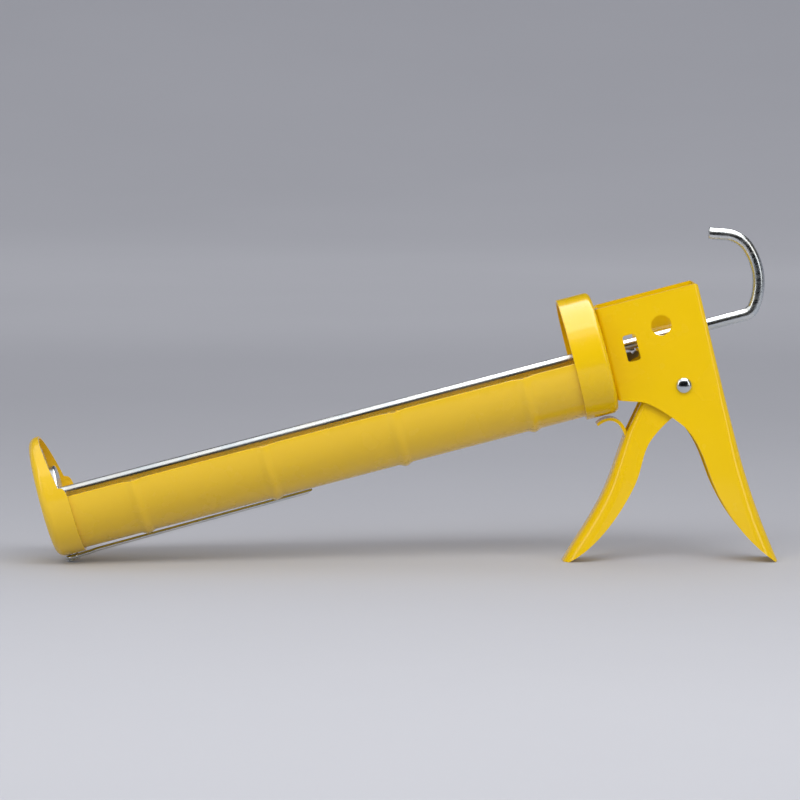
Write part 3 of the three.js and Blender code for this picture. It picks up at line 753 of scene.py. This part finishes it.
def trigger_section(bend, inset):
    """The folded sheet's section as (how deep behind the front line, y), side to side."""
    r = bend - inset
    side = TRIGGER_HALF - inset
    half = [(TRIGGER_DEEP, -side)]
    half += [(bend + (TRIGGER_DEEP - bend) * k / 6, -side) for k in (4, 2, 1, 0)]
    for k in range(1, 13):
        t = math.pi / 2 * k / 12
        half.append((bend - r * math.sin(t), -side + r - r * math.cos(t)))
    half += [(inset, (-side + r) * (1 - k / 3)) for k in range(1, 4)]
    return half + [(d, -y) for d, y in reversed(half[:-1])]


def trigger_channel():
    """The trigger's sheet folded round its front line, before its outline is cut."""
    line = trigger_front()
    outer, inner = [], []
    travelled = 0.0
    for i, (x, z) in enumerate(line):
        a, b = line[max(i - 1, 0)], line[min(i + 1, len(line) - 1)]
        size = math.dist(a, b)
        nx, nz = (a[1] - b[1]) / size, (b[0] - a[0]) / size
        if i:
            travelled += math.dist(line[i - 1], line[i])
        bend = lookup(TRIGGER_BEND, travelled - TRIGGER_LEAD)
        for rows, inset in ((outer, 0), (inner, TRIGGER_SHEET)):
            rows.append([(x + nx * d, y, z + nz * d) for d, y in trigger_section(bend, inset)])
    return shell(outer, inner)


def trigger_outline():
    """The trigger from its side: its arm, the boss round the pawl's pin, and its lever."""
    px, pz = PAWL_PIN
    top = outline((47.6, -28.6), (47.9, pz), steps=20) + arc(px, pz, 4.7, 0, 180, 18)[1:]
    lever = outline(
        top[-1], (36.5, -20, 24, -21, 10.5, -31.5), (4, -40), (-8, -52), (-66, -104.4),
        (-64, -106.5), (-49.6, -110.25), (-34, -106.6, -18, -94.5, -5.3, -80.3),
        (5.5, -68.5, 5, -60, 15.1, -52.6), (22, -47.4, 28, -44.4, 35, -42.6),
        (43, -40.4, 47.4, -35, 47.6, -28.6), steps=24,
    )
    return lever[:-1] + top[:-1]


def tab_lance():
    """A cutter for the opening in the front web that the curled tab is folded out of."""
    back = Vector((TAB_WAY.y, -TAB_WAY.x))
    low, high = Vector(TAB_ROOT) - back * 5, Vector(TAB_ROOT) + back * 9
    corners = (low, high, high + TAB_WAY * 40, low + TAB_WAY * 40)
    return prism([tuple(p) for p in corners], -TAB_HALF - GAP, TAB_HALF + GAP)


def curled_tab():
    """The tab from its root in the web, up and over to its free end and back underneath."""
    curl = outline(
        (1.7, -50.9), (0.7, -49.0), (1.4, -43, -1.5, -36.8, -8, -36.6),
        (-11.6, -36.5, -14.2, -38.1), (-14.9, -39.0, -13.9, -39.6), (-11.2, -38.2, -8, -38.15),
        (-3.4, -38.6, -0.9, -43, -0.95, -48.9), (-0.6, -50.6), steps=16,
    )
    return prism(curl, -TAB_HALF, TAB_HALF)


def trigger():
    """One folded sheet with the curled tab above the fingers' place."""
    channel = trigger_channel()
    combine(channel, [prism(trigger_outline(), -SHEET_REACH, SHEET_REACH)], "INTERSECT")
    holes = [tab_lance(), pin_hole(PIVOT, PIVOT_R + GAP, SHEET_REACH),
             pin_hole(PAWL_PIN, PAWL_PIN_R + GAP, SHEET_REACH, 30)]
    combine(channel, holes)
    combine(channel, [curled_tab()], "UNION")
    round_edges(channel, 0.4, 3, 40)
    finish_piece(channel, "trigger_lever", "trigger", ENAMEL, ["trigger"])


# ---- rod -------------------------------------------------------------------------------

SAW_LOW = -7
THREADS = 9


def hook_path():
    """The rod's centre line: straight, then round the hook's three bends to its tail."""
    points = [(x, 0, 0) for x in (ROD_FRONT, -200, -80, 20, 70, HOOK_START)]
    x, z, heading = HOOK_START, 0.0, 0.0
    for radius, degrees in HOOK_BENDS:
        count = round(degrees / 4)
        turn = math.radians(degrees) / count
        for _ in range(count):
            chord = 2 * radius * math.sin(turn / 2)
            heading += turn / 2
            x += chord * math.cos(heading)
            z += chord * math.sin(heading)
            heading += turn / 2
            points.append((x, 0, z))
    for _ in range(2):
        x += HOOK_TAIL / 2 * math.cos(heading)
        z += HOOK_TAIL / 2 * math.sin(heading)
        points.append((x, 0, z))
    return points


def push_rod():
    """The rod with its row of saw teeth underneath."""
    rod = tube(hook_path(), ROD_R, 48, 0.5)
    start, end = TEETH
    crest = -ROD_R - 0.15
    saw = [(start, SAW_LOW)]
    for x in range(start, end, TOOTH_PITCH):
        saw += [(x, -ROD_R + TOOTH_DEPTH), (x + (1 - TOOTH_FLAT) * TOOTH_PITCH, crest),
                (x + TOOTH_PITCH, crest)]
    saw.append((x + TOOTH_PITCH, SAW_LOW))
    combine(rod, [prism(saw, -6, 6)])
    finish_piece(rod, "rod", "rod", ZINC_ROD, ["push_rod"], 30)


def rod_thread():
    """The threaded stub on the rod's front end, inside the nut."""
    loop = [(ROD_FRONT + 0.5, 0.4), (ROD_FRONT + 0.5, STUB_R)]
    for k in range(THREADS):
        x = ROD_FRONT - GAP - THREAD_PITCH * k
        loop += [(x, STUB_R), (x - THREAD_PITCH / 2, STUB_R - THREAD_PITCH / 2)]
    loop += [(STUB_FRONT + 0.35, STUB_R - 0.1), (STUB_FRONT, STUB_R - 0.7), (STUB_FRONT, 0.4)]
    stub = revolve(loop, segments=40)
    finish_piece(stub, "rod_thread", "rod", ZINC_SMALL, [])


# ---- piston ----------------------------------------------------------------------------


def piston_plate():
    """The large pressed disc, with a rolled rim that faces the nose."""
    back = PLATE_FRONT + PLATE_SHEET
    rim, edge = PLATE_RIM_FRONT, PLATE_EDGE_R
    inner = PLATE_R - PLATE_SHEET
    loop = [(back, STUB_R + GAP), (back, 10), (back, PLATE_R - 2)]
    loop += [(back - edge + b, a) for a, b in arc(PLATE_R - edge, 0, edge, 84, 6, 7)]
    loop += [(rim + 0.3, PLATE_R), (rim, PLATE_R - 0.3), (rim, inner + 0.3), (rim + 0.3, inner),
             (PLATE_FRONT - 0.4, inner), (PLATE_FRONT, inner - 0.4), (PLATE_FRONT, 10),
             (PLATE_FRONT, STUB_R + GAP)]
    plate = revolve(loop, segments=128)
    finish_piece(plate, "push_plate", "piston", ZINC_TURNED, ["piston_plate"])


def piston_cup():
    """The small drawn cup behind the plate, with its floor towards the handle."""
    front = PLATE_FRONT + PLATE_SHEET + GAP
    inner, floor, edge = CUP_R - CUP_SHEET, CUP_BACK - CUP_SHEET, CUP_EDGE_R
    loop = [(CUP_BACK, ROD_R + GAP), (CUP_BACK, 9)]
    loop += [(CUP_BACK - edge + b, a) for a, b in arc(CUP_R - edge, 0, edge, 90, 0, 8)]
    loop += [(front + 0.3, CUP_R), (front, CUP_R - 0.3), (front, inner + 0.2), (front + 0.3, inner),
             (floor - 0.4, inner), (floor, inner - 0.4), (floor, 9), (floor, ROD_R + GAP)]
    cup = revolve(loop, segments=96)
    finish_piece(cup, "backing_cup", "piston", ZINC_TURNED, ["piston_cup"])


def washer_and_nut():
    """The washer between the rod's shoulder and the plate, and the nut in front of the plate."""
    front, end = PLATE_FRONT + PLATE_SHEET + GAP, ROD_FRONT - GAP
    chamfer = 0.2
    loop = [(front, STUB_R + 0.2), (front, WASHER_R - chamfer), (front + chamfer, WASHER_R),
            (end - chamfer, WASHER_R), (end, WASHER_R - chamfer), (end, STUB_R + 0.2)]
    finish_piece(revolve(loop, segments=48), "washer", "rod", ZINC_SMALL, ["rod_washer"])
    nut = lengthwise(circle(0, 0, NUT_R, 6), NUT_FRONT, PLATE_FRONT - GAP)
    before, behind = NUT_FRONT - 0.05, PLATE_FRONT - 0.1
    cone = revolve([(before, STUB_R + 0.15), (before, 4.25), (NUT_FRONT + 0.5, 4.95),
                    (behind, 4.95), (behind, STUB_R + 0.15)], segments=60)
    combine(nut, [cone], "INTERSECT")
    finish_piece(nut, "nut", "rod", ZINC_SMALL, ["piston_nut"], 25)


# ---- fasteners -------------------------------------------------------------------------


def rivet_loop(radius, head, height, start, end, steps=7):
    """A rivet's section: a shank with a domed head on each end."""
    dome = []
    for k in range(steps + 1):
        a = math.pi / 2 * k / steps
        dome.append((height * math.cos(a) + 0.12, max(head * math.sin(a), AXIS_R)))
    return ([(start - out, r) for out, r in dome]
            + [(start, head), (start, radius), (end, radius), (end, head)]
            + [(end + out, r) for out, r in reversed(dome)])


def pin_loop(radius, half, head):
    """A pin's section: a plain shank with a thin flat head on each end."""
    end = [(half, radius), (half, head), (half + 0.6, head), (half + 0.9, head - 0.3),
           (half + 0.9, AXIS_R)]
    return [(-x, r) for x, r in reversed(end)] + end


def fasteners():
    """The trigger's rivet, the four rivets through the collar, and the pawl's and catch's pins."""
    edge = FRAME_HALF + GAP
    rivet = revolve(rivet_loop(PIVOT_R, PIVOT_HEAD_R, 2.45, -edge, edge, 9), "y", PIVOT, 64)
    finish_piece(rivet, "pivot_rivet", "frame", ZINC_SMALL, ["trigger_pivot_rivet"])
    places = [(y, z) for z in (RIVET_Z, -RIVET_Z) for y in (-RIVET_Y, RIVET_Y)]
    for i, place in enumerate(places):
        inside = GAP + FRAME_SHEET + GAP + (0 if place[1] > 0 else GAP + BRACKET_SHEET)
        loop = rivet_loop(RIVET_R, RIVET_HEAD_R, 1.38, -COLLAR_SHEET - GAP, inside)
        finish_piece(revolve(loop, "x", place, 40), f"flange_rivet_{i + 1}", "frame",
                     ZINC_SMALL, [f"collar_rivet_{i + 1}"])
    pawl_pin = revolve(pin_loop(PAWL_PIN_R, TRIGGER_HALF + GAP, 2.9), "y", PAWL_PIN, 40)
    finish_piece(pawl_pin, "pawl_axle", "trigger", ZINC_SMALL, ["drive_pawl_pin"])
    catch_loop = pin_loop(CATCH_PIN_R, BRACKET_EAR + BRACKET_SHEET + GAP, 2.5)
    catch_pin = revolve(catch_loop, "y", CATCH_PIN, 40)
    finish_piece(catch_pin, "catch_axle", "frame", ZINC_SMALL, ["catch_pin"])


# ---- ratchet ---------------------------------------------------------------------------


def drive_pawl():
    """The lever on the trigger's pin that pushes the rod by its teeth."""
    px, pz = PAWL_PIN
    boss = arc(px, pz, PAWL_R, -90, 90, 16)
    arm = outline(boss[-1], (38, -8.2), (33.2, -4.8), (31.4, -4.8), (31.2, -8.6),
                  (35, -13.5, px, pz - PAWL_R))
    pawl = prism(arm[:-1] + boss[:-1], -LEVER_HALF, LEVER_HALF)
    combine(pawl, [pin_hole(PAWL_PIN, PAWL_PIN_R + GAP, LEVER_REACH)])
    round_edges(pawl, 0.3, 2, 40)
    finish_piece(pawl, "pawl", "drive_pawl", DARK, ["drive_pawl"])


def back_catch():
    """The short lever behind the collar that holds the rod by its teeth."""
    cx, cz = CATCH_PIN
    boss = arc(cx, cz, CATCH_R, 270, 108, 18)
    arm = outline(boss[-1], (12, -3.95), (14.6, -3.95), (15.2, -5.4), (17.4, -3.95),
                  (19.2, -4.2, 18.7, -6), (18.4, -7.5, 16.6, -7.6), (11.5, -8.4, cx, cz - CATCH_R))
    catch = prism(arm[:-1] + boss[:-1], -LEVER_HALF, LEVER_HALF)
    combine(catch, [pin_hole(CATCH_PIN, CATCH_PIN_R + GAP, LEVER_REACH)])
    round_edges(catch, 0.25, 2, 40)
    finish_piece(catch, "catch", "back_catch", DARK, ["back_catch"])


def catch_bracket():
    """The plate behind the frame's flanges, with two ears for the catch's pin."""
    cx, cz = CATCH_PIN
    x0 = GAP + FRAME_SHEET + GAP
    plate = lengthwise(rounded_box(-13.6, 13.6, -22.4, -7.2, 1.5), x0, x0 + BRACKET_SHEET)
    ear = [(x0 + 0.3, -7.5), (cx, cz + 3)] + arc(cx, cz, 3, 90, -90, 14) + [(x0 + 0.3, -21.5)]
    sides = (-BRACKET_EAR - BRACKET_SHEET, BRACKET_EAR)
    combine(plate, [prism(ear, y, y + BRACKET_SHEET) for y in sides], "UNION")
    holes = [pin_hole(CATCH_PIN, CATCH_PIN_R + GAP / 2, LEVER_REACH)]
    for y in (-RIVET_Y, RIVET_Y):
        holes.append(lengthwise(circle(y, -RIVET_Z, RIVET_R + GAP, 24), 0, 6))
    combine(plate, holes)
    round_edges(plate, 0.2, 2, 40)
    finish_piece(plate, "bracket", "frame", DARK, ["catch_bracket"])


def coil(pin, wire_r, coil_r, y0, y1, turns, start, leg_a, leg_b):
    """A torsion spring: a coil about a pin across, from y0 to y1, with a leg at each end."""
    count = round(turns * 40)
    points = [leg_a]
    first = math.radians(start)
    for i in range(count + 1):
        a = first + 2 * math.pi * turns * i / count
        x, z = pin[0] + coil_r * math.cos(a), pin[1] + coil_r * math.sin(a)
        points.append((x, y0 + (y1 - y0) * i / count, z))
    return tube(points + [leg_b], wire_r, 14, wire_r * 0.2)


def springs():
    """The catch's, the trigger's and the drive pawl's torsion springs, at rest."""
    for name, node, body, facts in (
        ("catch_coil", "catch_spring", "frame",
         (CATCH_PIN, 0.4, 2.3, 3.7, 5.1, 1.21, 90, (15.2, 3.7, -7.5), (4.4, 5.1, -15.2))),
        ("return_coil", "trigger_return_spring", "frame",
         (PIVOT, 0.75, 4.4, -9.5, -1.5, 4.04, 115, (55, -9.5, -15.9), (22.6, -1.5, -35.3))),
        ("pawl_coil", "drive_pawl_spring", "trigger",
         (PAWL_PIN, 0.45, 3.1, 3.9, 6.6, 2.65, 270, (33.5, 3.9, -15.8), (35.3, 6.6, -18))),
    ):
        finish_piece(coil(*facts), name, body, SPRING, [node])


# ---- seal punch ------------------------------------------------------------------------


def seal_punch():
    """The long wire under the cradle: an eye on the nose rivet, and a point cut on its end."""
    low = -CAP_R - PUNCH_DROP - PUNCH_R
    lifted = low + PUNCH_LIFT
    eye = PUNCH_RIVET_R + GAP + PUNCH_R
    points = []
    for degrees in range(30, 322, 8):
        a = math.radians(degrees)
        points.append((eye * math.cos(a), eye * math.sin(a), low))
    points += [(4.9, -1.35, low), (7.4, -0.5, low), (9.6, -0.1, low),
               (12, 0, low + PUNCH_LIFT * 0.35), (14, 0, low + PUNCH_LIFT * 0.9),
               (17, 0, lifted), (70, 0, lifted), (PUNCH_LENGTH, 0, lifted)]
    wire = tube(points, PUNCH_R, 20, 0.25)
    end, under = PUNCH_LENGTH, lifted - PUNCH_R - 0.1
    combine(wire, [prism([(end - 3.5, under), (end + 1, under), (end + 1, under + 2.2)], -4, 4)])
    wire.data.transform(Matrix.Translation((PUNCH_X, 0, 0))
                        @ Matrix.Rotation(math.radians(PUNCH_SWING), 4, "Z"))
    finish_piece(wire, "punch_wire", "seal_punch", ZINC_SMALL, ["seal_punch"])


def punch_rivet():
    """The rivet that the wire turns on: a flat head in the cradle and a domed foot below."""
    inside = -CRADLE_R + CRADLE_SHEET + GAP
    under = -CAP_R - PUNCH_DROP - 2 * PUNCH_R - GAP
    loop = [(inside + 0.9, AXIS_R), (inside + 0.9, 3.1), (inside + 0.6, 3.4), (inside, 3.4),
            (inside, PUNCH_RIVET_R), (under, PUNCH_RIVET_R), (under, 3.9), (under - 0.2, 4),
            (under - 0.5, 3.8), (PUNCH_HEAD_Z + 0.25, 3.0), (PUNCH_HEAD_Z + 0.05, 1.6),
            (PUNCH_HEAD_Z, AXIS_R)]
    rivet = revolve(loop, "z", (PUNCH_X, 0), 48)
    finish_piece(rivet, "punch_rivet", "frame", ZINC_SMALL, ["seal_punch_rivet"])


# ---- stage, light and camera, in metres ------------------------------------------------

TABLE_SPLIT = -0.45
TABLE_EDGE = 8.0
TABLE_CELLS = 32
TABLE_RISE = 0.1
TABLE_RISE_FROM = 3.5
TABLE_TONE = ((0.495, 0.50, 0.525), (0.51, 0.515, 0.54))
ROOM_TONE = (0.56, 0.565, 0.61)


def table(name, y0, y1, material):
    """Part of one wide table top, which rises gently a long way out to make its own backdrop."""
    xs = [TABLE_EDGE * k / TABLE_CELLS for k in range(-TABLE_CELLS, TABLE_CELLS + 1)]
    ys = [y0 + (y1 - y0) * k / TABLE_CELLS for k in range(TABLE_CELLS + 1)]
    verts = []
    for y in ys:
        for x in xs:
            beyond = max(0.0, math.hypot(x, y) - TABLE_RISE_FROM)
            verts.append((x, y, TABLE_RISE * beyond**2))
    mesh = bpy.data.meshes.new(name)
    mesh.from_pydata(verts, [], grid_faces(len(ys), len(xs)))
    mesh.shade_smooth()
    mesh.materials.append(material)
    obj = bpy.data.objects.new(name, mesh)
    bpy.context.scene.collection.objects.link(obj)
    return obj


def panel(name, place, aim, size, radiance, matt=True, shiny=True):
    """A rectangular soft light of a given radiance, seen in matt shading, in reflections or both."""
    data = bpy.data.lights.new(name, "AREA")
    data.shape = "RECTANGLE"
    data.size, data.size_y = size
    data.energy = radiance * math.pi * size[0] * size[1]
    lamp = bpy.data.objects.new(name, data)
    bpy.context.scene.collection.objects.link(lamp)
    lamp.location = place
    way = Vector(aim) - Vector(place)
    lamp.rotation_euler = way.to_track_quat("-Z", "Y").to_euler()
    lamp.visible_camera = False
    lamp.visible_diffuse = matt
    lamp.visible_glossy = shiny


def studio():
    """A wide pale table in an even light, with soft panels above, behind, in front and beside."""
    m = Nodes("pale_table")
    m.link("Base Color", m.ramp(m.noise(2.0, 3), (0.3, TABLE_TONE[0]), (0.7, TABLE_TONE[1])))
    m.link("Roughness", m.spread(m.noise(30, 3), 0.7, 0.8))
    m.set(Specular_IOR_Level=0.05)
    table("table_top", TABLE_SPLIT, TABLE_EDGE, m.material)
    table("table_front", -TABLE_EDGE, TABLE_SPLIT, m.material).visible_glossy = False
    panel("overhead_shine", (0.35, 0.04, 1.1), (0.35, 0.04, 0), (1.1, 1.42), 3.6, matt=False)
    panel("overhead_veil", (-0.3, -0.2, 1.12), (-0.3, -0.2, 0), (2.4, 1.9), 1.0, matt=False)
    panel("key_soft", (0.0, -0.8, 1.0), (0, 0, 0.05), (1.2, 0.5), 3.8, shiny=False)
    panel("back_fill", (0.0, 2.0, 1.0), (0, 0, 0.1), (1.6, 0.8), 0.6, shiny=False)
    panel("far_wash", (0, 2.2, 1.6), (0, 5, 0.3), (4.0, 0.6), 2.4, shiny=False)
    for side in (-1, 1):
        panel(f"side_strip_{side + 2}", (1.1 * side, -0.69, 0.6), (0, 0, 0.12), (0.35, 1.1), 2.1)
        panel(f"front_fill_{side + 2}", (0.85 * side, -1.3, 0.5), (0, 0, 0.1), (0.9, 0.8), 1.15,
              shiny=False)
    world = bpy.data.worlds.new("studio_room")
    world.use_nodes = True
    room = world.node_tree.nodes["Background"]
    room.inputs["Color"].default_value = (*ROOM_TONE, 1)
    room.inputs["Strength"].default_value = 1.0
    bpy.context.scene.world = world
    world.cycles_visibility.glossy = False
    bpy.context.scene.view_settings.view_transform = "Standard"


CAMERA_TILT = 5.0
CAMERA_YAW = 1.3
CAMERA_DISTANCE = 2.5
LENS = 198
SENSOR = 36
AIM_LEFT = 0.1159
AIM_DOWN = 0.0275


def camera():
    """A long lens, a little above the gun and square on to its side."""
    tilt, yaw = math.radians(CAMERA_TILT), math.radians(CAMERA_YAW)
    ahead = Vector((math.sin(yaw) * math.cos(tilt), math.cos(yaw) * math.cos(tilt), -math.sin(tilt)))
    right = Vector((math.cos(yaw), -math.sin(yaw), 0))
    up = right.cross(ahead)
    aim = ORIGIN - right * AIM_LEFT - up * AIM_DOWN
    data = bpy.data.cameras.new("camera")
    data.lens = LENS
    data.sensor_width = SENSOR
    data.clip_start = 0.1
    data.clip_end = 20
    cam = bpy.data.objects.new("camera", data)
    bpy.context.scene.collection.objects.link(cam)
    cam.location = aim - ahead * CAMERA_DISTANCE
    cam.rotation_euler = ahead.to_track_quat("-Z", "Y").to_euler()
    bpy.context.scene.camera = cam


for build in (
    camera, studio, cradle, front_cap, rear_collar, handle_frame, trigger, push_rod, rod_thread,
    piston_plate, piston_cup, washer_and_nut, fasteners, drive_pawl, back_catch, catch_bracket,
    springs, seal_punch, punch_rivet,
):
    build()
